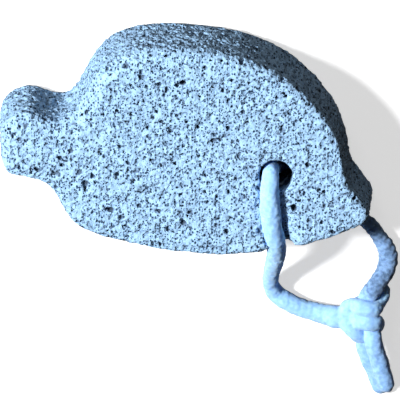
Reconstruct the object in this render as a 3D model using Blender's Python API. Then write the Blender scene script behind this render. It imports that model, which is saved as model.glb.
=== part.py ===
"""A pumice stone threaded on a knotted cord loop, lying on its back face.

Metres, +Z up. X runs along the stone and Y across it. The origin is on the resting plane,
under the middle of the stone's box.
"""

import math
import random

import bmesh
import bpy
from mathutils import Matrix, Vector

MM = 0.001

# The stone. FACE_OUTLINE is its front face's outline, clockwise from the left lobe, in mm.
FACE_OUTLINE = [
    (-49.9, 4.5), (-48.9, 7.7), (-47.3, 9.6), (-43.0, 11.1), (-37.8, 9.6), (-34.6, 9.0),
    (-31.7, 9.7), (-28.7, 12.8), (-25.6, 18.7), (-21.9, 24.1), (-17.6, 27.0), (-12.7, 28.6),
    (-6.0, 29.1), (3.5, 28.7), (11.6, 27.5), (17.0, 26.0), (22.6, 23.7), (27.9, 20.4),
    (31.6, 17.3), (35.8, 12.7), (39.0, 8.1), (41.3, 3.1), (43.1, -5.0), (44.2, -9.1),
    (46.7, -12.6), (48.6, -15.2), (49.8, -17.4), (48.7, -19.6), (45.4, -21.4), (39.9, -23.7),
    (34.4, -25.5), (26.1, -27.4), (15.1, -28.8), (9.5, -29.1), (4.0, -28.8), (-4.3, -27.9),
    (-12.6, -26.4), (-20.8, -24.4), (-26.4, -22.4), (-30.8, -19.4), (-34.0, -14.1),
    (-35.7, -11.0), (-37.6, -9.0), (-40.0, -7.8), (-45.5, -6.5), (-48.0, -5.8),
    (-49.5, -3.3), (-49.8, 0.6),
]
SPAN_STEPS = 2  # outline stations to each span between two points
THICKNESS = 23.0
DRAFT = 1.3  # the back outline stands this far outside the front one
BACK_EDGE = 1.8  # rounding radius of the back rim
EDGE_CRISP = 1.6  # rounding radius of the front rim on its right and lower sides
EDGE_WORN = 5.0  # and where it faces WORN_SIDE
WORN_SIDE = (-0.6, 0.8)
EDGE_ROOM = 0.7  # most that the rounding may be of the outline's own bending radius
EDGE_BLEND = 3  # stations either side over which the rounding radius changes
BACK_CORNER = (90.0, 45.0, 0.0)  # degrees round the back rim, face to wall
FRONT_CORNER = (0.0, 30.0, 60.0, 90.0)  # and round the front rim, wall to face

# The cord hole and the moulded groove that runs from it over the lower rim.
HOLE_XY = (24.5, -6.2)
HOLE_RADIUS = 4.6
HOLE_SIDES = 28
GROOVE_RADIUS = 3.6
GROOVE_AXIS = [
    (23.9, -7.3, 24.3), (23.1, -12.5, 24.1), (23.6, -16.9, 24.1), (24.5, -20.5, 23.5),
    (25.1, -24.4, 22.0), (25.3, -28.0, 19.2), (25.4, -31.0, 14.5), (25.4, -32.8, 6.0),
]
GROOVE_SIDES = 20
GROOVE_STEP = 3.2  # between the rings of its cutter
CURVE_STEPS = 8  # points to a span of a curve that is spaced again

# The cord. Its two strands meet halfway down the hole: one goes up, over the face and down to
# the knot, the other out at the back, under the stone and round to the knot.
CORD_DIAMETER = 4.8
GAP = 0.4  # between the cord and the stone it lies in
CORD_REST = CORD_DIAMETER / 2 + 0.12  # height of its centre where it lies on the resting plane
FRONT_STRAND = [
    (23.6, -7.6, 11.2), (23.6, -7.1, 14.7), (23.3, -5.2, 18.6), (23.0, -5.8, 21.7),
    (22.8, -9.0, 23.5), (22.9, -14.0, 23.5), (23.4, -20.2, 22.7), (24.3, -25.6, 20.6),
    (24.7, -30.5, 16.8), (24.0, -35.5, 11.9), (23.3, -40.2, 7.4), (23.2, -44.2, 4.3),
    (24.5, -47.6, CORD_REST), (27.1, -49.8, CORD_REST), (30.4, -51.5, CORD_REST),
    (34.2, -52.9, CORD_REST), (38.0, -53.7, 3.0), (41.1, -54.1, 3.8),
]
BACK_STRAND = [
    (23.6, -7.6, 10.5), (23.8, -7.8, 7.9), (24.9, -8.7, 5.2), (27.4, -10.6, 3.3),
    (31.1, -13.3, CORD_REST), (36.6, -17.3, CORD_REST), (43.1, -21.9, CORD_REST),
    (49.6, -26.6, CORD_REST), (52.4, -30.0, CORD_REST), (54.6, -33.5, CORD_REST),
    (55.6, -36.9, CORD_REST), (55.0, -40.1, 3.0), (53.3, -42.9, 4.5), (51.5, -45.1, 6.0),
]
STRAND_STEPS = 2  # tube points to each span of a strand
TUBE_RESOLUTION = 3

# The bed that the cord has worn: over the groove's floor, down the hole and up from the back.
BED_TOP = FRONT_STRAND[9::-1]  # from outside the lower rim to the middle of the hole
BED_BOTTOM = BACK_STRAND[:5]
BED_SIDES = 12

# Where the cord passes under the stone it has a channel in the back face.
CHANNEL_AXIS = [(23.4, -7.7), (31.1, -13.3), (36.6, -17.3), (43.1, -21.9), (51.6, -28.0)]
CHANNEL_ROOF_STEPS = 6
CHANNEL_BELOW = 1.5  # how far the cutter reaches below the back face

# The knot and the two cut tails. The right tail leans on the left one.
KNOT_CENTRE = (48.3, -52.8, 4.9)
KNOT_RADII = (6.5, 6.6, 4.8)
KNOT_TURN = -20.0
KNOT_SUBDIVISIONS = 3
TAIL_DIAMETER = 4.2
TAIL_REST = TAIL_DIAMETER / 2 + 0.12
LEFT_TAIL = [
    (49.0, -59.6, 2.8), (49.5, -64.0, TAIL_REST), (50.7, -67.5, TAIL_REST),
    (52.4, -71.0, TAIL_REST), (53.8, -75.1, TAIL_REST),
]
RIGHT_TAIL = [
    (51.4, -59.3, 6.3), (52.2, -62.6, 6.4), (53.2, -66.1, 6.4), (54.3, -69.7, 6.4),
    (55.3, -73.0, 6.4),
]

# Pits: sparse large pores. Radius and depth are in mm, and NAMED_PITS are the biggest three.
NAMED_PITS = [(-0.7, 20.5, 1.1, 2.0), (-20.5, -16.0, 1.35, 1.8), (29.9, -15.9, 1.15, 2.2)]
PIT_SEED = 7
PIT_SIDES = 6
PIT_RADIUS = (0.42, 0.85)
PIT_FLOOR = 0.55  # floor radius as a share of the mouth's
PIT_LIP = 0.4  # how far the cutter stands out of the surface
PIT_SPACING = 0.8  # least stone between two pits
FACE_PITS = 96
WALL_PITS = 74
BACK_PITS = 40
BACK_CLEAR = (-6.0, 0.0, 13.0)  # x, y and radius of the pit-free patch on the back
PIT_DEPTH = (1.1, 1.6)  # as a multiple of the radius
PIT_STRETCH = (0.75, 1.1)
PIT_FIELD = (50.0, 30.0)  # half-sides of the box that face and back pits are drawn from
WALL_MARGIN = (1.6, 0.5)  # above the back rounding, and as a share of the front rounding
HOLE_CLEAR = 6.5  # from the hole's axis to a pit on the face
BACK_HOLE_CLEAR = 7.0  # and on the back
GROOVE_CLEAR = 2.5  # from the groove's side to a pit on the wall
CHANNEL_CLEAR = 4.5  # from the channel's axis to a pit on the back
CHANNEL_MOUTH = (6.0, 8.0)  # distance and height round its mouth that wall pits keep out of
LEAST_BEND = 3.5  # no wall pit where the outline bends tighter than this

STONE_COLOUR = (0.47, 0.60, 0.80, 1.0)
CORD_COLOUR = (0.70, 0.86, 0.97, 1.0)


def clear_scene():
    for obj in list(bpy.data.objects):
        bpy.data.objects.remove(obj, do_unlink=True)


def material(name, colour, roughness):
    mat = bpy.data.materials.new(name)
    mat.use_nodes = True
    shader = mat.node_tree.nodes["Principled BSDF"]
    shader.inputs["Base Color"].default_value = colour
    shader.inputs["Roughness"].default_value = roughness
    shader.inputs["Metallic"].default_value = 0.0
    return mat


def spline(points, steps, closed=False):
    """Points on the centripetal Catmull-Rom curve through the given points, steps to a span."""
    points = [Vector(p) for p in points]
    if closed:
        padded = [points[-1], *points, points[0], points[1]]
    else:
        padded = [2 * points[0] - points[1], *points, 2 * points[-1] - points[-2]]
    curve = []
    for a, b, c, d in zip(padded, padded[1:], padded[2:], padded[3:]):
        ta = 0.0
        tb = ta + math.sqrt((b - a).length)
        tc = tb + math.sqrt((c - b).length)
        td = tc + math.sqrt((d - c).length)
        for step in range(steps):
            t = tb + (tc - tb) * step / steps
            ab = a.lerp(b, (t - ta) / (tb - ta))
            bc = b.lerp(c, (t - tb) / (tc - tb))
            cd = c.lerp(d, (t - tc) / (td - tc))
            abc = ab.lerp(bc, (t - ta) / (tc - ta))
            bcd = bc.lerp(cd, (t - tb) / (td - tb))
            curve.append(abc.lerp(bcd, (t - tb) / (tc - tb)))
    if not closed:
        curve.append(points[-1])
    return curve


def spaced(curve, step):
    """The curve again with its points about one step apart, ends kept."""
    lengths = [0.0]
    for a, b in zip(curve, curve[1:]):
        lengths.append(lengths[-1] + (b - a).length)
    count = max(2, round(lengths[-1] / step))
    result = []
    span = 0
    for i in range(count + 1):
        want = lengths[-1] * i / count
        while span < len(curve) - 2 and lengths[span + 1] < want:
            span += 1
        share = (want - lengths[span]) / (lengths[span + 1] - lengths[span])
        result.append(curve[span].lerp(curve[span + 1], share))
    return result


def new_object(name, bm):
    mesh = bpy.data.meshes.new(name)
    bmesh.ops.recalc_face_normals(bm, faces=bm.faces)
    bm.to_mesh(mesh)
    bm.free()
    obj = bpy.data.objects.new(name, mesh)
    bpy.context.scene.collection.objects.link(obj)
    return obj


def skin(bm, rings):
    """Closes a stack of equal rings of points into one body with flat ends."""
    loops = [[bm.verts.new(p * MM) for p in ring] for ring in rings]
    for low, high in zip(loops, loops[1:]):
        for i, corner in enumerate(low):
            j = (i + 1) % len(low)
            bm.faces.new((corner, low[j], high[j], high[i]))
    bm.faces.new(list(reversed(loops[0])))
    bm.faces.new(loops[-1])


def sweep(name, path, profile, up):
    """A closed body: the profile's (side, up) points carried along the path."""
    rings = []
    for i, centre in enumerate(path):
        tangent = path[min(i + 1, len(path) - 1)] - path[max(i - 1, 0)]
        side = tangent.cross(up).normalized()
        up = side.cross(tangent).normalized()
        rings.append([centre + side * x + up * y for x, y in profile])
    bm = bmesh.new()
    skin(bm, rings)
    return new_object(name, bm)


def circle(radius, sides):
    turns = [2 * math.pi * i / sides for i in range(sides)]
    return [(radius * math.cos(a), radius * math.sin(a)) for a in turns]


class Outline:
    """The stone's outline: its stations, outward normals and front rounding radii."""

    def __init__(self):
        curve = spline([(*p, 0.0) for p in FACE_OUTLINE], SPAN_STEPS, closed=True)
        count = len(curve)
        tangents = [curve[(i + 1) % count] - curve[i - 1] for i in range(count)]
        self.normals = [Vector((-t.y, t.x, 0.0)).normalized() for t in tangents]
        self.points = curve
        worn = Vector((*WORN_SIDE, 0.0))
        wanted = [
            EDGE_CRISP + (EDGE_WORN - EDGE_CRISP) * max(0.0, n.dot(worn)) for n in self.normals
        ]
        room = [EDGE_ROOM * self.bend(i) for i in range(count)]
        tight = [
            min(wanted[i], room[i - 1], room[i], room[(i + 1) % count]) for i in range(count)
        ]
        reach = range(-EDGE_BLEND, EDGE_BLEND + 1)
        self.rounding = [
            min(tight[i], sum(tight[(i + k) % count] for k in reach) / len(reach))
            for i in range(count)
        ]

    def bend(self, i):
        """The outline's bending radius at a station, or a large number where it is hollow."""
        a, b, c = self.points[i - 1], self.points[i], self.points[(i + 1) % len(self.points)]
        turn = (b - a).cross(c - b).z
        if turn >= 0.0:
            return math.inf
        return (b - a).length * (c - b).length * (c - a).length / (-2 * turn)

    def rim(self, i, height, inset):
        """A station's point at a height, set in from the wall."""
        out = DRAFT * (1 - height / THICKNESS) - inset
        return self.points[i] + self.normals[i] * out + Vector((0, 0, height))

    def ring(self, radii, degrees, front):
        """All stations' points at one angle round the front or back rim."""
        angle = math.radians(degrees)
        result = []
        for i, radius in enumerate(radii):
            rise = radius * (1 - math.sin(angle))
            height = THICKNESS - rise if front else rise
            result.append(self.rim(i, height, radius * (1 - math.cos(angle))))
        return result

    def wall_spot(self, i, height):
        """A point on the wall or its front rounding, and the outward direction there."""
        radius = self.rounding[i]
        lift = (height - (THICKNESS - radius)) / radius
        angle = math.asin(min(max(lift, 0.0), 1.0))
        inset = radius * (1 - math.cos(angle))
        out = self.normals[i] * math.cos(angle) + Vector((0, 0, math.sin(angle)))
        return self.rim(i, height, inset), out

    def holds(self, x, y, margin):
        """Whether a point lies inside the front outline, clear of it by the margin."""
        inside = False
        for i, b in enumerate(self.points):
            a = self.points[i - 1]
            if (b - Vector((x, y, 0))).length < margin + self.rounding[i]:
                return False
            if (a.y > y) != (b.y > y) and x < a.x + (b.x - a.x) * (y - a.y) / (b.y - a.y):
                inside = not inside
        return inside


def stone_body(outline):
    back_radii = [BACK_EDGE] * len(outline.points)
    rings = [outline.ring(back_radii, a, front=False) for a in BACK_CORNER]
    rings += [outline.ring(outline.rounding, a, front=True) for a in FRONT_CORNER]
    bm = bmesh.new()
    skin(bm, rings)
    return new_object("pumice_stone", bm)


def hole_cutter():
    ends = (-CHANNEL_BELOW, THICKNESS + CHANNEL_BELOW)
    path = [Vector((*HOLE_XY, z)) for z in ends]
    return sweep("hole_cutter", path, circle(HOLE_RADIUS, HOLE_SIDES), Vector((0, 1, 0)))


def groove_cutter():
    path = spaced(spline(GROOVE_AXIS, CURVE_STEPS), GROOVE_STEP)
    return sweep("groove_cutter", path, circle(GROOVE_RADIUS, GROOVE_SIDES), Vector((0, 0, 1)))


def bed_cutter():
    path = spline(BED_TOP + BED_BOTTOM[1:], STRAND_STEPS)
    radius = CORD_DIAMETER / 2 + GAP
    return sweep("bed_cutter", path, circle(radius, BED_SIDES), Vector((1, 0, 0)))


def channel_cutter():
    radius = CORD_DIAMETER / 2 + GAP
    floor = -CORD_REST - CHANNEL_BELOW
    turns = [math.pi * i / CHANNEL_ROOF_STEPS for i in range(CHANNEL_ROOF_STEPS + 1)]
    profile = [(radius * math.cos(a), radius * math.sin(a)) for a in turns]
    profile += [(-radius, floor), (radius, floor)]
    path = [Vector((x, y, CORD_REST)) for x, y in CHANNEL_AXIS]
    return sweep("channel_cutter", path, profile, Vector((0, 0, 1)))


def distance_to_path(spot, path):
    """The distance in plan from a spot to a path given by its points."""
    best = math.inf
    for a, b in zip(path, path[1:]):
        a, b, p = Vector(a[:2]), Vector(b[:2]), Vector(spot[:2])
        along = (p - a).dot(b - a) / (b - a).length_squared
        best = min(best, (p - a.lerp(b, min(max(along, 0.0), 1.0))).length)
    return best


def pit_places(outline, rng):
    """Each pit's spot on the surface, outward direction, mouth radius and depth."""
    up, down = Vector((0, 0, 1)), Vector((0, 0, -1))
    pits = [(Vector((x, y, THICKNESS)), up, radius, depth) for x, y, radius, depth in NAMED_PITS]

    def free(spot, radius):
        return all((spot - p[0]).length > radius + p[2] + PIT_SPACING for p in pits)

    def draw_size():
        radius = rng.uniform(*PIT_RADIUS)
        return radius, radius * rng.uniform(*PIT_DEPTH)

    def fill(count, draw_spot):
        goal = len(pits) + count
        while len(pits) < goal:
            radius, depth = draw_size()
            place = draw_spot(radius)
            if place and free(place[0], radius):
                pits.append((*place, radius, depth))

    def in_box():
        return tuple(rng.uniform(-half, half) for half in PIT_FIELD)

    def face_spot(radius):
        x, y = in_box()
        clear = distance_to_path((x, y), GROOVE_AXIS) > GROOVE_RADIUS + radius
        clear = clear and (Vector((x, y)) - Vector(HOLE_XY)).length > HOLE_CLEAR
        if clear and outline.holds(x, y, radius):
            return Vector((x, y, THICKNESS)), up
        return None

    def wall_spot(radius):
        i = rng.randrange(len(outline.points))
        low, high = WALL_MARGIN
        height = rng.uniform(BACK_EDGE + low, THICKNESS - high * outline.rounding[i])
        spot, out = outline.wall_spot(i, height)
        near_groove = distance_to_path(spot, GROOVE_AXIS) < GROOVE_RADIUS + GROOVE_CLEAR
        reach, top = CHANNEL_MOUTH
        near_channel = height < top and distance_to_path(spot, CHANNEL_AXIS) < reach
        if near_groove or near_channel or outline.bend(i) < LEAST_BEND:
            return None
        return spot, out

    def back_spot(radius):
        x, y = in_box()
        patch = (Vector((x, y)) - Vector(BACK_CLEAR[:2])).length < BACK_CLEAR[2]
        near_channel = distance_to_path((x, y), CHANNEL_AXIS) < CHANNEL_CLEAR + radius
        near_hole = (Vector((x, y)) - Vector(HOLE_XY)).length < BACK_HOLE_CLEAR + radius
        if patch or near_channel or near_hole or not outline.holds(x, y, BACK_EDGE + radius):
            return None
        return Vector((x, y, 0.0)), down

    fill(FACE_PITS, face_spot)
    fill(WALL_PITS, wall_spot)
    fill(BACK_PITS, back_spot)
    return pits


def pit_cutter(outline):
    """One cutter of many tapered plugs, none of which meets another."""
    rng = random.Random(PIT_SEED)
    bm = bmesh.new()
    for spot, out, radius, depth in pit_places(outline, rng):
        turn = out.to_track_quat("Z", "Y").to_matrix().to_4x4()
        spin = Matrix.Rotation(rng.uniform(0, math.pi), 4, "Z")
        stretch = Matrix.Diagonal((1.0, rng.uniform(*PIT_STRETCH), 1.0, 1.0))
        middle = Matrix.Translation((0, 0, (PIT_LIP - depth) / 2 * MM))
        bmesh.ops.create_cone(
            bm,
            cap_ends=True,
            segments=PIT_SIDES,
            radius1=radius * PIT_FLOOR * MM,
            radius2=radius * MM,
            depth=(depth + PIT_LIP) * MM,
            matrix=Matrix.Translation(spot * MM) @ turn @ spin @ stretch @ middle,
        )
    return new_object("pit_cutter", bm)


def cut(obj, cutter):
    cutter.hide_render = True
    cutter.display_type = "WIRE"
    modifier = obj.modifiers.new(cutter.name, "BOOLEAN")
    modifier.operation = "DIFFERENCE"
    modifier.solver = "EXACT"
    modifier.object = cutter


def make_stone():
    outline = Outline()
    stone = stone_body(outline)
    for cutter in (hole_cutter(), groove_cutter(), bed_cutter(), channel_cutter(),
                   pit_cutter(outline)):
        cut(stone, cutter)
    triangulate = stone.modifiers.new("triangulate", "TRIANGULATE")
    triangulate.ngon_method = "BEAUTY"
    stone.data.materials.append(material("pumice", STONE_COLOUR, 0.95))


def make_tube(name, route, diameter, mat):
    """A plain cord stretch as a bevelled curve with filled ends."""
    points = spline(route, STRAND_STEPS)
    data = bpy.data.curves.new(name, "CURVE")
    data.dimensions = "3D"
    data.bevel_depth = diameter / 2 * MM
    data.bevel_resolution = TUBE_RESOLUTION
    data.use_fill_caps = True
    line = data.splines.new("POLY")
    line.points.add(len(points) - 1)
    for target, point in zip(line.points, points):
        target.co = (*(point * MM), 1.0)
    data.materials.append(mat)
    obj = bpy.data.objects.new(name, data)
    bpy.context.scene.collection.objects.link(obj)


def make_knot(mat):
    bm = bmesh.new()
    shape = Matrix.Rotation(math.radians(KNOT_TURN), 4, "Z") @ Matrix.Diagonal((*KNOT_RADII, 1.0))
    bmesh.ops.create_icosphere(
        bm,
        subdivisions=KNOT_SUBDIVISIONS,
        radius=1.0,
        matrix=Matrix.Scale(MM, 4) @ shape,
    )
    knot = new_object("cord_knot", bm)
    knot.location = Vector(KNOT_CENTRE) * MM
    knot.data.shade_smooth()
    knot.data.materials.append(mat)


def main():
    clear_scene()
    make_stone()
    cotton = material("cord_cotton", CORD_COLOUR, 0.9)
    make_tube("cord_front", FRONT_STRAND, CORD_DIAMETER, cotton)
    make_tube("cord_back", BACK_STRAND, CORD_DIAMETER, cotton)
    make_knot(cotton)
    make_tube("cord_tail_left", LEFT_TAIL, TAIL_DIAMETER, cotton)
    make_tube("cord_tail_right", RIGHT_TAIL, TAIL_DIAMETER, cotton)


main()
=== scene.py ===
"""The looks of a pumice foot stone that lies on its back with its knotted cord beside it.

The stone and the two halves of the cord are signed-distance fields, each turned into a mesh.
Forms are worked out in millimetres, in the frame's own axes, and turned into metres as they
are written to a mesh.
"""

import math

import bpy
import numpy as np
from mathutils import Matrix, Vector


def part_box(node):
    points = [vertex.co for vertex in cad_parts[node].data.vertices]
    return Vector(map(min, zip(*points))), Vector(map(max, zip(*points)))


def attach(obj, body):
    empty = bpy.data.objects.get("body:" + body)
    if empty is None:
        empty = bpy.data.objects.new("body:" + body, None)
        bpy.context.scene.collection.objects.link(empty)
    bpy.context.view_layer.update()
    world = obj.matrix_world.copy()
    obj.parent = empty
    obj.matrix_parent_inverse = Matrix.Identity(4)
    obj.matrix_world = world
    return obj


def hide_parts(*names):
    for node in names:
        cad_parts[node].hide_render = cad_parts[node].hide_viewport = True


MM = 0.001
FAR = 99.0  # millimetres: further than anything in a field
TINY = 1e-9  # keeps a divisor from zero

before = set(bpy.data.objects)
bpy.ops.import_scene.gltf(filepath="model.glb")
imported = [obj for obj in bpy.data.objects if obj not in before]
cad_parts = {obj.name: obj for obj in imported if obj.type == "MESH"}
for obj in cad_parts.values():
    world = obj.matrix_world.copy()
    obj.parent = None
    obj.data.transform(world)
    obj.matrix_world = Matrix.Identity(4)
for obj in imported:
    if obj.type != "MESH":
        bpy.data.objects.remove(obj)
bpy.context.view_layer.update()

# The stone: the same form as the solid it replaces.
FACE_OUTLINE = [
    (-49.9, 4.5), (-48.9, 7.7), (-47.3, 9.6), (-43.0, 11.1), (-37.8, 9.6), (-34.6, 9.0),
    (-31.7, 9.7), (-28.7, 12.8), (-25.6, 18.7), (-21.9, 24.1), (-17.6, 27.0), (-12.7, 28.6),
    (-6.0, 29.1), (3.5, 28.7), (11.6, 27.5), (17.0, 26.0), (22.6, 23.7), (27.9, 20.4),
    (31.6, 17.3), (35.8, 12.7), (39.0, 8.1), (41.3, 3.1), (43.1, -5.0), (44.2, -9.1),
    (46.7, -12.6), (48.6, -15.2), (49.8, -17.4), (48.7, -19.6), (45.4, -21.4), (39.9, -23.7),
    (34.4, -25.5), (26.1, -27.4), (15.1, -28.8), (9.5, -29.1), (4.0, -28.8), (-4.3, -27.9),
    (-12.6, -26.4), (-20.8, -24.4), (-26.4, -22.4), (-30.8, -19.4), (-34.0, -14.1),
    (-35.7, -11.0), (-37.6, -9.0), (-40.0, -7.8), (-45.5, -6.5), (-48.0, -5.8),
    (-49.5, -3.3), (-49.8, 0.6),
]
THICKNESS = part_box("pumice_stone")[1].z / MM
DRAFT = 1.3  # how much further out the wall stands at the back than at the front
BACK_EDGE = 1.8
EDGE_CRISP = 1.2  # the front rim's rounding where it is sharpest
EDGE_WORN = 4.6  # and where it is worn most
WORN_SIDE = (-0.6, 0.8)  # the way that the most worn rim faces
EDGE_ROOM = 0.7  # how much of an outward bend's radius the rounding may take up
HOLE_XY = (24.5, -6.2)
HOLE_RADIUS = 4.6
GROOVE_RADIUS = 2.3
GROOVE_REACH = 5.6  # how far from its axis the groove's soft shoulders are cut
GROOVE_AXIS = [
    (24.2, -7.3, 25.4), (23.9, -11.5, 25.6), (24.0, -14.6, 25.2), (24.5, -17.7, 24.4),
    (25.2, -20.9, 23.4), (25.8, -24.2, 22.0), (26.0, -28.0, 19.2), (26.0, -31.0, 14.5),
    (26.0, -32.8, 6.0),
]

# The cord's route, point for point that of its solids, then on through the knot.
CORD_DIAMETER = 4.8
GAP = 0.3  # between the cord and the bed that it lies in
CORD_REST = CORD_DIAMETER / 2 + 0.12
FRONT_STRAND = [
    (23.6, -7.6, 11.2), (23.6, -7.1, 14.7), (23.3, -5.2, 18.6), (23.0, -5.8, 21.7),
    (22.8, -9.0, 23.5), (22.9, -14.0, 23.5), (23.4, -20.2, 22.7), (24.3, -25.6, 20.6),
    (24.7, -30.5, 16.8), (24.0, -35.5, 11.9), (23.3, -40.2, 7.4), (23.2, -44.2, 4.3),
    (24.5, -47.6, CORD_REST), (27.1, -49.8, CORD_REST), (30.4, -51.5, CORD_REST),
    (34.2, -52.9, CORD_REST), (38.0, -53.7, 3.0), (41.1, -54.1, 3.8),
]
BACK_STRAND = [
    (23.6, -7.6, 10.5), (23.8, -7.8, 7.9), (24.9, -8.7, 5.2), (27.4, -10.6, 3.3),
    (31.1, -13.3, CORD_REST), (36.6, -17.3, CORD_REST), (43.1, -21.9, CORD_REST),
    (49.6, -26.6, CORD_REST), (52.4, -30.0, CORD_REST), (54.6, -33.5, CORD_REST),
    (55.6, -36.9, CORD_REST), (55.0, -40.1, 3.0), (53.3, -42.9, 4.5), (51.5, -45.1, 6.0),
]
FRONT_IN_KNOT = [
    (43.4, -54.6, 3.4), (45.6, -56.3, 2.8), (47.8, -57.6, 2.5), (50.4, -57.6, 2.6),
    (52.2, -56.1, 4.2), (51.8, -54.8, 6.4), (49.9, -54.5, 7.3), (47.9, -54.3, 6.9),
    (46.3, -53.5, 5.4), (46.6, -51.8, 3.0), (49.0, -50.2, 2.2), (52.6, -48.6, 2.1),
    (54.3, -46.6, 2.3), (54.2, -48.0, 3.6), (52.9, -49.6, 5.0), (51.5, -50.6, 6.9),
    (49.9, -50.3, 7.6), (48.0, -50.0, 7.2), (46.2, -49.9, 5.7), (44.5, -51.0, 4.9),
    (43.7, -52.8, 4.9), (44.5, -55.2, 5.6), (46.3, -57.3, 5.4), (47.9, -58.8, 4.2),
]
BACK_IN_KNOT = [
    (49.9, -47.7, 5.2), (49.3, -51.9, 4.0), (50.1, -54.9, 3.8), (50.9, -57.1, 4.4),
]
TAIL_REST = 2.22
LEFT_TAIL = [
    (49.0, -59.6, 2.8), (49.5, -64.0, TAIL_REST), (50.7, -67.5, TAIL_REST),
    (52.4, -71.0, TAIL_REST), (53.8, -75.1, TAIL_REST),
]
RIGHT_TAIL = [
    (51.4, -59.3, 6.3), (52.2, -62.6, 6.4), (53.2, -66.1, 6.4), (54.3, -69.7, 6.4),
    (55.3, -73.0, 6.4),
]

# The cord's radius at each of those points: squeezed in the hole and the knot, slack elsewhere.
FRONT_STRAND_RADII = [
    1.7, 1.7, 1.75, 1.9, 2.25, 2.45, 2.45, 2.45, 2.35,
    2.15, 2.0, 2.0, 2.2, 2.3, 2.3, 2.3, 2.45, 2.7,
]
FRONT_KNOT_RADII = [
    2.8, 2.6, 2.4, 2.3, 2.2, 2.1, 2.1, 1.9, 2.2, 2.1, 2.0, 1.8,
    1.5, 1.6, 1.8, 2.0, 2.1, 2.0, 1.8, 1.8, 1.8, 2.0, 2.3, 2.3,
]
BACK_STRAND_RADII = [2.2, 2.2, 2.2, 2.2, 2.2, 2.2, 1.9, 1.7, 1.8, 2.1, 2.3, 2.3, 2.2, 2.2]
BACK_KNOT_RADII = [2.1, 2.1, 2.2, 2.3]
TAIL_RADII = [2.3, 2.2, 2.2, 2.2, 2.1]

# The two pieces of cord, each from halfway down the hole to the end of its tail. It is built in
# runs that sink into each other where they touch, and knot_marks are the points of its route
# where one run ends and the next begins. Its painted shade says how much darker its colour is
# painted at distances along it, for shade that falls there.
CORDS = [
    {
        "name": "cord_front_strand",
        "stands_for": ("cord_front", "cord_tail_left"),
        "exit": (23.5, -8.2, 18.8),
        "route": FRONT_STRAND + FRONT_IN_KNOT + LEFT_TAIL,
        "radii": FRONT_STRAND_RADII + FRONT_KNOT_RADII + TAIL_RADII,
        "knot_marks": range(len(FRONT_STRAND) - 1, len(FRONT_STRAND + FRONT_IN_KNOT) + 1, 2),
        "rib": 0.03,
        "painted_shade": {138.0: 0.0, 150.0: 0.5},
        "triangles": 120_000,
    },
    {
        "name": "cord_back_strand",
        "stands_for": ("cord_back", "cord_tail_right", "cord_knot"),
        "exit": (23.8, -7.8, 7.9),
        "route": BACK_STRAND + BACK_IN_KNOT + RIGHT_TAIL,
        "radii": BACK_STRAND_RADII + BACK_KNOT_RADII + TAIL_RADII,
        "knot_marks": [len(BACK_STRAND)],
        "rib": 0.10,
        "painted_shade": {38.0: 0.7, 42.0: 1.0, 59.0: 1.0, 63.0: 0.2, 70.0: 0.0, 80.0: 0.5},
        "triangles": 60_000,
    },
]


def spline(points, step, closed=False):
    """Points about one step apart on the centripetal Catmull-Rom curve through the given ones."""
    points = [np.array(p, float) for p in points]
    if closed:
        padded = [points[-1], *points, points[0], points[1]]
    else:
        padded = [2 * points[0] - points[1], *points, 2 * points[-1] - points[-2]]
    curve = []
    for a, b, c, d in zip(padded, padded[1:], padded[2:], padded[3:]):
        tb = math.sqrt(np.linalg.norm(b - a))
        tc = tb + math.sqrt(np.linalg.norm(c - b))
        td = tc + math.sqrt(np.linalg.norm(d - c))
        count = max(1, round(np.linalg.norm(c - b) / step))
        for t in tb + (tc - tb) * np.arange(count) / count:
            ab = a + (b - a) * t / tb
            bc = b + (c - b) * (t - tb) / (tc - tb)
            cd = c + (d - c) * (t - tc) / (td - tc)
            abc = ab + (bc - ab) * t / tc
            bcd = bc + (cd - bc) * (t - tb) / (td - tb)
            curve.append(abc + (bcd - abc) * (t - tb) / (tc - tb))
    if not closed:
        curve.append(points[-1])
    return np.array(curve)


# ---------------------------------------------------------------- fields and their meshes

CELL = 0.2  # millimetres between a field's samples


def smooth_min(a, b, k):
    """The lesser of two distances, blended where they differ by less than k."""
    return np.minimum(a, b) - np.maximum(k - np.abs(a - b), 0.0) ** 2 / (4 * k)


def smooth_max(a, b, k):
    return -smooth_min(-a, -b, k)


class Grid:
    """A block of sample points and the signed distance to a form's skin at each."""

    def __init__(self, low, high):
        self.low = np.array(low, float)
        self.axes = [np.arange(a, b, CELL, dtype=np.float32) for a, b in zip(low, high)]
        self.shape = tuple(len(a) for a in self.axes)
        self.values = np.zeros(self.shape, np.float32)

    def block(self, low, high):
        """Slices and broadcastable coordinates of the points inside a box."""
        slices = []
        for axis, a, b in zip(self.axes, low, high):
            slices.append(slice(int(np.searchsorted(axis, a)), int(np.searchsorted(axis, b))))
        x, y, z = (axis[s] for axis, s in zip(self.axes, slices))
        return tuple(slices), x[:, None, None], y[None, :, None], z[None, None, :]

    def sample(self, points, values):
        """A field's values at any points, between the samples."""
        at = (points - self.low) / CELL
        base = np.clip(np.floor(at).astype(int), 0, np.array(self.shape) - 2)
        share = at - base
        total = np.zeros(len(points))
        for corner in np.ndindex(2, 2, 2):
            weight = np.prod(np.where(corner, share, 1 - share), axis=1)
            i, j, k = (base + corner).T
            total += weight * values[i, j, k]
        return total


def lattice_noise(shape, cell, seed):
    """Smooth noise from -1 to 1 over a block, its grain about one cell of millimetres."""
    values = np.random.default_rng(seed).uniform(
        -1, 1, [int(n * CELL / cell) + 3 for n in shape]).astype(np.float32)
    for axis, count in enumerate(shape):
        at = np.arange(count, dtype=np.float32) * np.float32(CELL / cell)
        base = at.astype(int)
        share = (at - base).astype(np.float32)
        share = share * share * (3 - 2 * share)
        share = share.reshape([-1 if a == axis else 1 for a in range(3)])
        low = np.take(values, base, axis)
        values = low + (np.take(values, base + 1, axis) - low) * share
    return values


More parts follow.
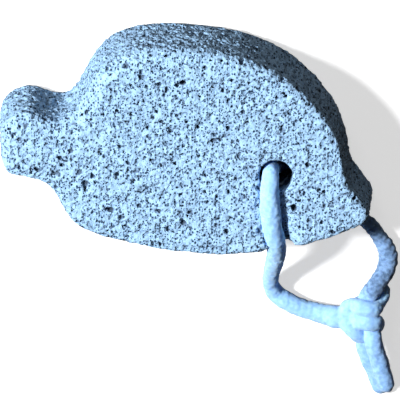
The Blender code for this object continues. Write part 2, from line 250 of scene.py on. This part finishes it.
def surface_net(grid):
    """The zero surface of the field as quads, one vertex to each cell it crosses."""
    v = grid.values
    inside = v < 0
    count = np.zeros([n - 1 for n in grid.shape], np.int8)
    for c in np.ndindex(2, 2, 2):
        count += inside[tuple(slice(o, o + n - 1) for o, n in zip(c, grid.shape))]
    cells = np.argwhere((count > 0) & (count < 8))
    number = np.full(count.shape, -1, np.int32)
    number[tuple(cells.T)] = np.arange(len(cells))
    corners = list(np.ndindex(2, 2, 2))
    value = {c: v[tuple((cells + c).T)] for c in corners}
    total = np.zeros((len(cells), 3))
    hits = np.zeros(len(cells))
    for a in corners:
        for axis in range(3):
            if a[axis]:
                continue
            b = tuple(1 if i == axis else a[i] for i in range(3))
            cross = (value[a] < 0) != (value[b] < 0)
            share = np.where(cross, value[a] / np.where(cross, value[a] - value[b], 1), 0)
            spot = np.array(a, float)[None] + share[:, None] * np.eye(3)[axis][None]
            total += np.where(cross[:, None], spot, 0)
            hits += cross
    places = grid.low + (cells + total / hits[:, None]) * CELL
    quads = []
    for axis in range(3):
        u, w = (axis + 1) % 3, (axis + 2) % 3
        first = [slice(1, -1)] * 3
        first[axis] = slice(0, -1)
        second = list(first)
        second[axis] = slice(1, None)
        a, b = inside[tuple(first)], inside[tuple(second)]
        spots = np.argwhere(a != b)
        leaving = a[tuple(spots.T)]
        offset = np.ones(3, int)
        offset[axis] = 0
        spots = spots + offset
        ring = []
        for du, dw in ((-1, -1), (0, -1), (0, 0), (-1, 0)):
            shift = np.zeros(3, int)
            shift[u], shift[w] = du, dw
            ring.append(number[tuple((spots + shift).T)])
        ring = np.stack(ring, 1)
        quads.append(np.where(leaving[:, None], ring, ring[:, ::-1]))
    return places, np.concatenate(quads)


def largest_part(places, quads):
    """Drops loose crumbs: keeps the one connected body with the most vertices."""
    label = np.arange(len(places))
    pairs = np.concatenate([quads[:, [0, 1]], quads[:, [1, 2]], quads[:, [2, 3]]])
    while True:
        low = np.minimum(label[pairs[:, 0]], label[pairs[:, 1]])
        before = label.copy()
        np.minimum.at(label, pairs[:, 0], low)
        np.minimum.at(label, pairs[:, 1], low)
        label = label[label]
        if np.array_equal(label, before):
            break
    names, counts = np.unique(label, return_counts=True)
    keep = label == names[counts.argmax()]
    number = np.cumsum(keep) - 1
    return places[keep], number[quads[keep[quads[:, 0]]]]


def mesh_object(name, places, faces):
    mesh = bpy.data.meshes.new(name)
    mesh.from_pydata(places * MM, [], faces)
    mesh.update()
    obj = bpy.data.objects.new(name, mesh)
    bpy.context.scene.collection.objects.link(obj)
    return obj


def simplify(obj, triangles):
    """Collapses edges where they matter least until about so many triangles are left."""
    modifier = obj.modifiers.new("simplify", "DECIMATE")
    modifier.ratio = triangles / (2 * len(obj.data.polygons))
    depsgraph = bpy.context.evaluated_depsgraph_get()
    mesh = bpy.data.meshes.new_from_object(obj.evaluated_get(depsgraph))
    obj.modifiers.clear()
    obj.data = mesh


def vertex_places(obj):
    """Where a mesh's vertices are, in millimetres."""
    spots = np.zeros(len(obj.data.vertices) * 3)
    obj.data.vertices.foreach_get("co", spots)
    return spots.reshape(-1, 3) / MM


def set_attribute(obj, name, values):
    attribute = obj.data.attributes.new(name, "FLOAT", "POINT")
    attribute.data.foreach_set("value", values.astype(np.float32))


# ---------------------------------------------------------------- the stone

STONE_MARGIN = 1.5  # room around the solid's box for the field
OUTLINE_STEP = 1.5
RIM_BLENDS = 6  # how often the front rim's rounding is averaged along the outline
ROUTE_STEP = 1.5
GROOVE_STEP = 2.0
CUT_ROOM = 2.0  # how far past a cut its blend reaches
SOFT_RIM = 0.5  # how soft the rims are that a cut leaves
SOFT_BED = 0.15
SOFT_SHOULDER = 4.2
BED_POINTS = FRONT_STRAND[9::-1] + BACK_STRAND[1:5]  # up the groove and down the hole
CHANNEL_POINTS = BACK_STRAND[:9]  # under the stone

# Roughness of the skin under the pores, in layers of noise. A layer's height changes by the
# share on_wall down the walls, and by on_back at the back face.
ROUGHNESS = [
    {"grain": 1.7, "height": 0.12, "on_wall": 0.0, "on_back": -0.6, "seed": 1},
    {"grain": 0.8, "height": 0.14, "on_wall": 1.6, "on_back": -2.4, "seed": 2},
]
WALL_TOP, WALL_FADE = 1.5, 3.0  # the walls' share sets in this far below the front face
BACK_TOP, BACK_FADE = 2.0, 1.5  # the back's sets in this far above the back face

# Pores: bubbles of three sizes, each on a lattice of its own, cut open where they meet the skin.
# The share is how many cells of the lattice hold one, and none lies below least_z.
BUBBLES = [
    {"pitch": 2.4, "radius": (0.42, 0.74), "share": 0.7, "least_z": -FAR},
    {"pitch": 1.20, "radius": (0.27, 0.45), "share": 1.0, "least_z": 0.8},
    {"pitch": 0.85, "radius": (0.19, 0.30), "share": 0.95, "least_z": 0.8},
]
BUBBLE_STRETCH = (0.8, 1.3)
PORE_REACH = 1.0  # how far from the skin bubbles are worked out
BIG_PITS = [
    {"centre": (-0.7, 20.5, 23.0), "radii": (0.95, 0.75, 1.9)},
    {"centre": (-20.5, -16.0, 23.0), "radii": (1.15, 0.8, 1.5)},
    {"centre": (29.4, -15.3, 23.0), "radii": (0.8, 1.15, 1.9)},
]
STONE_TRIANGLES = 196_000


def outline_maps(xs, ys):
    """Signed distance in plan to the outline, and the front rim's rounding, at each column."""
    loop = spline([(*p, 0.0) for p in FACE_OUTLINE], OUTLINE_STEP, closed=True)[:, :2]
    nxt, prev = np.roll(loop, -1, 0), np.roll(loop, 1, 0)
    tangent = nxt - prev
    normal = np.stack([-tangent[:, 1], tangent[:, 0]], 1)
    normal /= np.linalg.norm(normal, axis=1)[:, None]
    worn = np.clip(normal @ np.array(WORN_SIDE), 0, None)
    rounding = EDGE_CRISP + (EDGE_WORN - EDGE_CRISP) * worn
    into, on = loop - prev, nxt - loop
    turn = into[:, 0] * on[:, 1] - into[:, 1] * on[:, 0]
    sides = [np.linalg.norm(side, axis=1) for side in (into, on, nxt - prev)]
    bend = sides[0] * sides[1] * sides[2] / np.maximum(-2 * turn, TINY)
    bend = np.where(turn < 0, bend, np.inf)  # the outline runs clockwise
    rounding = np.minimum(rounding, EDGE_ROOM * bend)
    for _ in range(RIM_BLENDS):
        average = (np.roll(rounding, 1) + rounding + np.roll(rounding, -1)) / 3
        rounding = np.minimum(rounding, average)
    x, y = np.meshgrid(xs, ys, indexing="ij")
    best = np.full(x.shape, np.inf)
    inside = np.zeros(x.shape, bool)
    radius = np.zeros(x.shape)
    for i, (a, b) in enumerate(zip(loop, nxt)):
        edge = b - a
        along = ((x - a[0]) * edge[0] + (y - a[1]) * edge[1]) / (edge @ edge)
        along = np.clip(along, 0, 1)
        gap = np.hypot(x - a[0] - along * edge[0], y - a[1] - along * edge[1])
        near = gap < best
        best = np.where(near, gap, best)
        here = rounding[i] + (rounding[(i + 1) % len(loop)] - rounding[i]) * along
        radius = np.where(near, here, radius)
        crossing = (a[1] > y) != (b[1] > y)
        with np.errstate(divide="ignore", invalid="ignore"):
            inside ^= crossing & (x < a[0] + edge[0] * (y - a[1]) / edge[1])
    return np.where(inside, -best, best), radius


def fill_body(grid):
    """The rounded, drafted block, uncut."""
    xs, ys, zs = grid.axes
    plan, radius = outline_maps(xs, ys)
    for k, z in enumerate(zs):
        front = z > THICKNESS / 2
        r = radius if front else BACK_EDGE
        wall = plan - DRAFT * (1 - z / THICKNESS) + r
        cap = z - THICKNESS + r if front else r - z
        outside = np.hypot(np.maximum(wall, 0), np.maximum(cap, 0))
        grid.values[:, :, k] = np.minimum(np.maximum(wall, cap), 0) + outside - r


def path_distance(path, x, y, z):
    """Distance from a block of points to a path, in plan alone where z is None."""
    best = None
    for a, b in zip(path, path[1:]):
        e = b - a
        if z is None:
            along = ((x - a[0]) * e[0] + (y - a[1]) * e[1]) / (e[0] ** 2 + e[1] ** 2)
        else:
            along = ((x - a[0]) * e[0] + (y - a[1]) * e[1] + (z - a[2]) * e[2]) / (e @ e)
        along = np.clip(along, 0, 1)
        gap = (x - a[0] - along * e[0]) ** 2 + (y - a[1] - along * e[1]) ** 2
        if z is not None:
            gap = gap + (z - a[2] - along * e[2]) ** 2
        best = gap if best is None else np.minimum(best, gap)
    return np.sqrt(best)


def carve_cord_way(grid):
    """The hole, the moulded groove, the bed worn by the cord and the channel in the back."""
    def carve(low, high, distance, radius, rim):
        slices, x, y, z = grid.block(low, high)
        cutter = radius - distance(x, y, z)
        grid.values[slices] = smooth_max(grid.values[slices], cutter, rim)

    def around(path, reach):
        return path.min(0) - reach, path.max(0) + reach

    hx, hy = HOLE_XY
    reach = HOLE_RADIUS + CUT_ROOM
    carve((hx - reach, hy - reach, -FAR), (hx + reach, hy + reach, FAR),
          lambda x, y, z: np.hypot(x - hx, y - hy), HOLE_RADIUS, SOFT_RIM)
    groove = spline(GROOVE_AXIS, GROOVE_STEP)
    carve(*around(groove, GROOVE_REACH), lambda x, y, z: path_distance(groove, x, y, z),
          GROOVE_RADIUS, SOFT_SHOULDER)
    bed_radius = CORD_DIAMETER / 2 + GAP
    reach = bed_radius + CUT_ROOM
    bed = spline(BED_POINTS, ROUTE_STEP)
    carve(*around(bed, reach), lambda x, y, z: path_distance(bed, x, y, z),
          bed_radius, SOFT_BED)
    channel = spline(CHANNEL_POINTS, ROUTE_STEP)

    def channel_distance(x, y, z):
        return np.hypot(path_distance(channel, x, y, None), np.maximum(z - CORD_REST, 0))

    carve(*around(channel, reach), channel_distance, bed_radius, SOFT_RIM)


def bubble_depth(points, pitch, radius, share, seed):
    """How far each point lies inside the nearest bubble, one to a cell of a loose lattice."""
    random = np.random.default_rng(seed)
    at = ((points - points.min(0)) / pitch + 1).astype(np.float32)
    base = (at - 0.5).astype(np.int32)
    shape = base.max(0) + 2
    spot = random.random((*shape, 3), np.float32).reshape(-1, 3)
    size = random.uniform(*radius, len(spot)).astype(np.float32)
    size[random.random(len(spot)) > share] = -FAR
    stretch = random.uniform(*BUBBLE_STRETCH, (len(spot), 3)).astype(np.float32)
    best = np.full(len(at), -FAR, np.float32)
    for step in np.ndindex(2, 2, 2):
        cell = base + np.array(step, np.int32)
        flat = np.ravel_multi_index(tuple(cell.T), shape)
        gap = (at - cell - spot[flat]) * stretch[flat]
        gap = np.sqrt(np.einsum("ij,ij->i", gap, gap)) * pitch
        best = np.maximum(best, size[flat] - gap)
    return best


def dig_pores(grid, uncut):
    """Opens the bubbles and the three big pits in the skin."""
    near = (np.abs(grid.values) < PORE_REACH) & (uncut > -PORE_REACH)
    i, j, k = np.nonzero(near)
    points = np.stack([axis[n] for axis, n in zip(grid.axes, (i, j, k))], 1)
    values = grid.values[i, j, k]
    for seed, kind in enumerate(BUBBLES):
        depth = bubble_depth(points, kind["pitch"], kind["radius"], kind["share"], seed)
        depth[points[:, 2] < kind["least_z"]] = -FAR
        values = np.maximum(values, depth)
    grid.values[i, j, k] = values
    for pit in BIG_PITS:
        centre, radii = pit["centre"], pit["radii"]
        reach = max(radii) + CELL
        slices, x, y, z = grid.block(np.array(centre) - reach, np.array(centre) + reach)
        gap = np.sqrt(((x - centre[0]) / radii[0]) ** 2 + ((y - centre[1]) / radii[1]) ** 2
                      + ((z - centre[2]) / radii[2]) ** 2)
        grid.values[slices] = np.maximum(grid.values[slices], (1 - gap) * min(radii))


def make_stone():
    """The stone's mesh, with each vertex's depth below the skin and below the uncut block."""
    low, high = (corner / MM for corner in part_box("pumice_stone"))
    grid = Grid([a - STONE_MARGIN for a in low], [a + STONE_MARGIN for a in high])
    fill_body(grid)
    uncut = grid.values.copy()
    carve_cord_way(grid)
    height = grid.axes[2][None, None, :]
    wall = np.clip((THICKNESS - WALL_TOP - height) / WALL_FADE, 0, 1)
    back = np.clip((BACK_TOP - height) / BACK_FADE, 0, 1)
    for layer in ROUGHNESS:
        noise = lattice_noise(grid.shape, layer["grain"], layer["seed"])
        share = 1 + layer["on_wall"] * wall + layer["on_back"] * back
        grid.values += layer["height"] * noise * share
    skin = grid.values.copy()
    dig_pores(grid, uncut)
    places, quads = largest_part(*surface_net(grid))
    stone = mesh_object("pumice_body", places, quads)
    simplify(stone, STONE_TRIANGLES)
    spots = vertex_places(stone)
    set_attribute(stone, "pore_depth", -grid.sample(spots, skin))
    set_attribute(stone, "sunk", -grid.sample(spots, uncut))
    stone.data.shade_smooth()
    return stone


# ---------------------------------------------------------------- the cord

PATH_STEP = 0.6
FLATTENED = 1.14  # how much wider a cord lies than it is tall
SOFT_CREASE = 0.5  # how softly turns of the cord sink into each other
RUN_REACH = 2.5  # how far past its radius a run is worked out
CORD_MARGIN = 5.5  # room around the cord's path for the field
RIB_PITCH = 1.9  # from one knitted rib of the cord to the next
RIB_SLANT = 0.45
RIB_IN_KNOT = 0.02  # how high a rib stands there
RIB_UPRIGHT = 0.2  # keeps the slant finite where the cord stands upright
FLUFF = [  # the felted surface
    {"grain": 1.6, "height": 0.12, "seed": 20},
    {"grain": 0.75, "height": 0.09, "seed": 21},
]
LEAST_HEIGHT = 0.05  # the cord is pressed flat here, just above the floor
BATCHES = 60  # of vertices, when each one's place along the cord is sought


def path_lengths(path):
    """How far along a path each of its points is."""
    return np.concatenate([[0], np.cumsum(np.linalg.norm(np.diff(path, axis=0), axis=1))])


class Run:
    """A stretch of cord: its path, the radius at each point and its place along the cord."""

    def __init__(self, path, radius, start):
        self.path = path
        self.radius = radius
        self.along = start + path_lengths(path)

    def fill(self, grid, rib_depth):
        """Joins this stretch to what the grid holds, with a soft crease between them."""
        reach = self.radius.max() * FLATTENED + RUN_REACH
        slices, _, _, _ = grid.block(self.path.min(0) - reach, self.path.max(0) + reach)
        best = np.full(grid.values[slices].shape, FAR, np.float32)
        stations = list(zip(self.path, self.radius, self.along))
        for (a, ra, start), (b, rb, end) in zip(stations, stations[1:]):
            here, xs, ys, zs = grid.block(np.minimum(a, b) - reach, np.maximum(a, b) + reach)
            inner = tuple(slice(h.start - s.start, h.stop - s.start) for h, s in zip(here, slices))
            e = b - a
            share = ((xs - a[0]) * e[0] + (ys - a[1]) * e[1] + (zs - a[2]) * e[2]) / (e @ e)
            share = np.clip(share, 0, 1)
            dx, dy, dz = (c - v - share * w for c, v, w in zip((xs, ys, zs), a, e))
            across = np.abs(dx * e[1] - dy * e[0]) / (math.hypot(e[0], e[1]) + RIB_UPRIGHT)
            gap = np.sqrt((dx / FLATTENED) ** 2 + (dy / FLATTENED) ** 2 + dz ** 2)
            rib = np.cos((start + share * (end - start) + RIB_SLANT * across)
                         * (2 * math.pi / RIB_PITCH))
            distance = gap - ra - share * (rb - ra) - rib_depth * rib
            best[inner] = np.minimum(best[inner], distance)
        grid.values[slices] = smooth_min(grid.values[slices], best, SOFT_CREASE)


def make_cord(cord):
    """A soft cord along its route, with its path and its length."""
    path = spline(cord["route"], PATH_STEP)
    along = path_lengths(path)
    owner = [int(np.argmin(np.linalg.norm(path - np.array(p), axis=1))) for p in cord["route"]]
    radius = np.interp(along, along[owner], cord["radii"])
    grid = Grid(path.min(0) - CORD_MARGIN, path.max(0) + CORD_MARGIN)
    grid.values += FAR
    marks = [0, *(owner[i] for i in cord["knot_marks"]), len(path) - 1]
    for a, b in zip(marks, marks[1:]):
        rib = cord["rib"] if a == 0 else RIB_IN_KNOT
        Run(path[a:b + 1], radius[a:b + 1], along[a]).fill(grid, rib)
    for layer in FLUFF:
        noise = lattice_noise(grid.shape, layer["grain"], layer["seed"])
        grid.values += layer["height"] * noise
    floor = LEAST_HEIGHT - grid.axes[2][None, None, :]
    grid.values = np.maximum(grid.values, floor)
    places, quads = largest_part(*surface_net(grid))
    piece = mesh_object(cord["name"], places, quads)
    simplify(piece, cord["triangles"])
    piece.data.shade_smooth()
    nearest = np.concatenate([
        np.argmin(((batch[:, None] - path[None]) ** 2).sum(2), axis=1)
        for batch in np.array_split(vertex_places(piece), BATCHES)])
    # Painted shade: the cord's colour is darkened at the given distances along it.
    painted_shade = cord["painted_shade"]
    set_attribute(piece, "painted_shade", np.interp(along[nearest], list(painted_shade), list(painted_shade.values())))
    return piece, path, along[-1]


# ---------------------------------------------------------------- materials

PAINTED_PORE_SHADES = [  # painted shade, darker by depth below the skin, in millimetres
    (0.0, (0.34, 0.55, 0.80)), (0.15, (0.26, 0.42, 0.62)),
    (0.40, (0.14, 0.22, 0.34)), (1.0, (0.04, 0.06, 0.09)),
]
RECESS_SHADE_DEPTH = (0.8, 4.5)  # millimetres below the uncut block over which painted shade deepens in the hole, groove and channel
RECESS_SHADE_LEAST = 0.12
GRAIN_SQUASH = (1.0, 1.0, 0.55)  # the walls' grain is drawn out upright
GRAIN_SCALE = 1300.0
DOTS = {"scale": 1500.0, "grow": 0.60, "least": -0.12, "soft": 0.08}
# Painted shade in the fine pits, multiplied into the colour.
DOT_PAINTED_SHADE = (0.10, 0.13, 0.17, 1.0)
DOT_DEPTH = 0.45
CRATERS = {"scale": 920.0, "grow": 0.72, "least": -0.12, "soft": 0.16}
# Painted shade in the craters, multiplied into the colour.
CRATER_PAINTED_SHADE = (0.84, 0.87, 0.91, 1.0)
CRATER_DEPTH = 0.8
STONE_BUMP = 0.36 * MM

CORD_UNSHADED = [(0.35, (0.29, 0.53, 0.93)), (0.6, (0.36, 0.62, 1.0))]  # by the noise
# Painted shade: a darker copy of the cord's colours, for where shade falls on it.
CORD_PAINTED_SHADE = [(0.36, (0.10, 0.18, 0.32)), (0.62, (0.23, 0.38, 0.64))]
CORD_GRAIN_SCALE = 900.0
CORD_GLOW_DEPTH = 1.8 * MM
CORD_BUMP = 0.2 * MM


class Material:
    """A material's one shader, and the nodes that feed it."""

    def __init__(self, name, settings):
        self.data = bpy.data.materials.new(name)
        self.data.use_nodes = True
        self.shader = self.data.node_tree.nodes["Principled BSDF"]
        for socket, value in settings.items():
            self.give(self.shader.inputs[socket], value)

    def give(self, socket, given):
        """Gives a socket another node's output, a number or a colour."""
        if isinstance(given, bpy.types.NodeSocket):
            self.data.node_tree.links.new(given, socket)
        else:
            socket.default_value = given

    def node(self, kind, inputs, **settings):
        """A node with its own settings, and with what its inputs are given."""
        node = self.data.node_tree.nodes.new("ShaderNode" + kind)
        for name, value in settings.items():
            setattr(node, name, value)
        for socket, given in inputs.items():
            self.give(node.inputs[socket], given)
        return node

    def place(self):
        return self.node("TexCoord", {}).outputs["Object"]

    def attribute(self, name):
        return self.node("Attribute", {}, attribute_name=name).outputs["Fac"]

    def noise(self, place, scale, detail):
        node = self.node("TexNoise", {"Vector": place, "Scale": scale, "Detail": detail})
        return node.outputs["Fac"]

    def math(self, operation, *given):
        return self.node("Math", dict(enumerate(given)), operation=operation).outputs[0]

    def ramp(self, given, stops):
        """A colour for each value, run on between the stops."""
        node = self.node("ValToRGB", {0: given})
        elements = node.color_ramp.elements
        while len(elements) < len(stops):
            elements.new(0.5)
        for element, (position, colour) in zip(elements, stops):
            element.position = position
            element.color = (*colour, 1.0)
        return node.outputs[0]

    def mix(self, blend, factor, first, second):
        node = self.node("Mix", {"Factor": factor, "A": first, "B": second},
                         data_type="RGBA", blend_type=blend)
        return node.outputs["Result"]

    def bump(self, height, strength, distance):
        node = self.node("Bump", {"Height": height, "Strength": strength, "Distance": distance})
        self.give(self.shader.inputs["Normal"], node.outputs["Normal"])

    def pits(self, place, scale, grow, least, soft):
        """How far a point is inside a round pit, 0 to 1: one to a cell, each its own size."""
        cells = self.node("TexVoronoi", {"Vector": place, "Scale": scale})
        parts = self.node("SeparateColor", {0: cells.outputs["Color"]})
        reach = self.math("MULTIPLY_ADD", parts.outputs[0], grow, least)
        inside = self.math("SUBTRACT", reach, cells.outputs["Distance"])
        dot = self.node("MapRange", {"Value": inside, "From Min": -soft, "From Max": soft})
        return dot.outputs["Result"]


def stone_material():
    """Blue pumice, finely pitted, with painted shade down its pores, in its fine pits and craters
    and down its hole and groove.
    """
    pumice = Material("pumice_blue", {"Roughness": 0.95, "Specular IOR Level": 0.1})
    place = pumice.node("Mapping", {"Vector": pumice.place(), "Scale": GRAIN_SQUASH})
    place = place.outputs["Vector"]
    dots = pumice.pits(place, **DOTS)
    craters = pumice.pits(place, **CRATERS)
    # Painted shade down the hole, groove and channel: the colour darkens with depth below the
    # uncut block.
    recess_shade = pumice.node("MapRange", {
        "Value": pumice.attribute("sunk"), "From Min": RECESS_SHADE_DEPTH[0],
        "From Max": RECESS_SHADE_DEPTH[1], "To Min": 1.0, "To Max": RECESS_SHADE_LEAST})
    # Painted shade: the colour darkens with depth down the pores.
    colour = pumice.ramp(pumice.attribute("pore_depth"), PAINTED_PORE_SHADES)
    # Painted shade in the craters and the fine pits.
    colour = pumice.mix("MULTIPLY", craters, colour, CRATER_PAINTED_SHADE)
    colour = pumice.mix("MULTIPLY", dots, colour, DOT_PAINTED_SHADE)
    colour = pumice.mix("MULTIPLY", 1.0, colour, recess_shade.outputs["Result"])
    pumice.give(pumice.shader.inputs["Base Color"], colour)
    height = pumice.noise(place, GRAIN_SCALE, 3.0)
    height = pumice.math("MULTIPLY_ADD", dots, -DOT_DEPTH, height)
    height = pumice.math("MULTIPLY_ADD", craters, -CRATER_DEPTH, height)
    pumice.bump(height, 1.0, STONE_BUMP)
    return pumice.data


def cord_material():
    """Felted white cotton that light sinks into, with painted shade darkening it along parts of
    its length.
    """
    cotton = Material("cord_knit", {
        "Roughness": 0.9, "Specular IOR Level": 0.1, "Sheen Weight": 0.2,
        "Subsurface Weight": 0.6, "Subsurface Radius": (1.0, 1.0, 1.0),
        "Subsurface Scale": CORD_GLOW_DEPTH})
    noise = cotton.noise(cotton.place(), CORD_GRAIN_SCALE, 4.0)
    unshaded, shaded = cotton.ramp(noise, CORD_UNSHADED), cotton.ramp(noise, CORD_PAINTED_SHADE)
    colour = cotton.mix("MIX", cotton.attribute("painted_shade"), unshaded, shaded)
    cotton.give(cotton.shader.inputs["Base Color"], colour)
    cotton.bump(noise, 0.5, CORD_BUMP)
    return cotton.data


# ---------------------------------------------------------------- the view and the light

# The camera looks down on the front face, from the side away from the loop. Its distances and
# those of the lights are in metres.
VIEW_TARGET = Vector((0.0, 0.0, THICKNESS * MM))
VIEW_TILT = 19.91  # degrees off straight down
VIEW_TURN = 2.59  # degrees round from the stone's long side
VIEW_DISTANCE = 1.5
VIEW_WIDTH = 0.10816  # what the frame's width covers at the target
VIEW_SHIFT = (0.00391, -0.01229)
SENSOR = 36.0

LIGHT_DISTANCE = 1.6
KEY = {"direction": (-0.65, 0.20, 0.73), "size": 0.26, "power": 53.0}
FILL = {"direction": (-0.25, 0.87, 0.42), "size": 0.7, "power": 4.4}
SKY_COLOUR = (1.0, 0.95, 0.9, 1.0)
SKY_STRENGTH = 0.04
FLOOR_REACH = 3000.0  # millimetres from the middle to each side
FLOOR_COLOUR = (0.72, 0.72, 0.72, 1.0)
FLOOR_GLOW = 0.6  # keeps cast shadows pale


def make_camera():
    tilt, turn = math.radians(VIEW_TILT), math.radians(VIEW_TURN)
    flat = Vector((math.sin(turn), math.cos(turn), 0.0))
    back = flat * math.sin(tilt) + Vector((0, 0, math.cos(tilt)))
    up = Vector((0, 1, 0))
    up = (up - back * up.dot(back)).normalized()
    right = up.cross(back)
    place = VIEW_TARGET + back * VIEW_DISTANCE + right * VIEW_SHIFT[0] + up * VIEW_SHIFT[1]
    data = bpy.data.cameras.new("camera")
    data.sensor_width = SENSOR
    data.lens = SENSOR * VIEW_DISTANCE / VIEW_WIDTH
    data.clip_end = 10.0
    camera = bpy.data.objects.new("camera", data)
    turned = Matrix((right, up, back)).transposed().to_4x4()
    camera.matrix_world = Matrix.Translation(place) @ turned
    bpy.context.scene.collection.objects.link(camera)
    bpy.context.scene.camera = camera


def area_light(name, direction, size, power):
    data = bpy.data.lights.new(name, "AREA")
    data.shape = "DISK"
    data.size = size
    data.energy = power
    light = bpy.data.objects.new(name, data)
    towards = Vector(direction).normalized()
    light.location = towards * LIGHT_DISTANCE
    light.rotation_euler = towards.to_track_quat("Z", "Y").to_euler()
    bpy.context.scene.collection.objects.link(light)


def make_floor():
    """A pale floor that throws no light back up, so that the far walls stay dark."""
    corners = np.array([(-1, -1, 0), (1, -1, 0), (1, 1, 0), (-1, 1, 0)]) * FLOOR_REACH
    floor = mesh_object("floor", corners, [(0, 1, 2, 3)])
    pale = Material("pale_floor", {
        "Base Color": FLOOR_COLOUR, "Roughness": 0.9,
        "Emission Color": (1.0, 1.0, 1.0, 1.0), "Emission Strength": FLOOR_GLOW})
    floor.data.materials.append(pale.data)
    floor.visible_diffuse = False


def make_studio():
    area_light("key", **KEY)
    area_light("fill", **FILL)
    bpy.context.scene.view_settings.view_transform = "Standard"
    world = bpy.data.worlds.new("studio")
    world.use_nodes = True
    background = world.node_tree.nodes["Background"]
    background.inputs["Color"].default_value = SKY_COLOUR
    background.inputs["Strength"].default_value = SKY_STRENGTH
    bpy.context.scene.world = world
    make_floor()


# ---------------------------------------------------------------- the pieces

make_camera()

knit = cord_material()
for cord in CORDS:
    piece, path, length = make_cord(cord)
    piece.data.materials.append(knit)
    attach(piece, "root")
    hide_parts(*cord["stands_for"])

stone = make_stone()
stone.data.materials.append(stone_material())
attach(stone, "root")
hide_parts("pumice_stone")

make_studio()
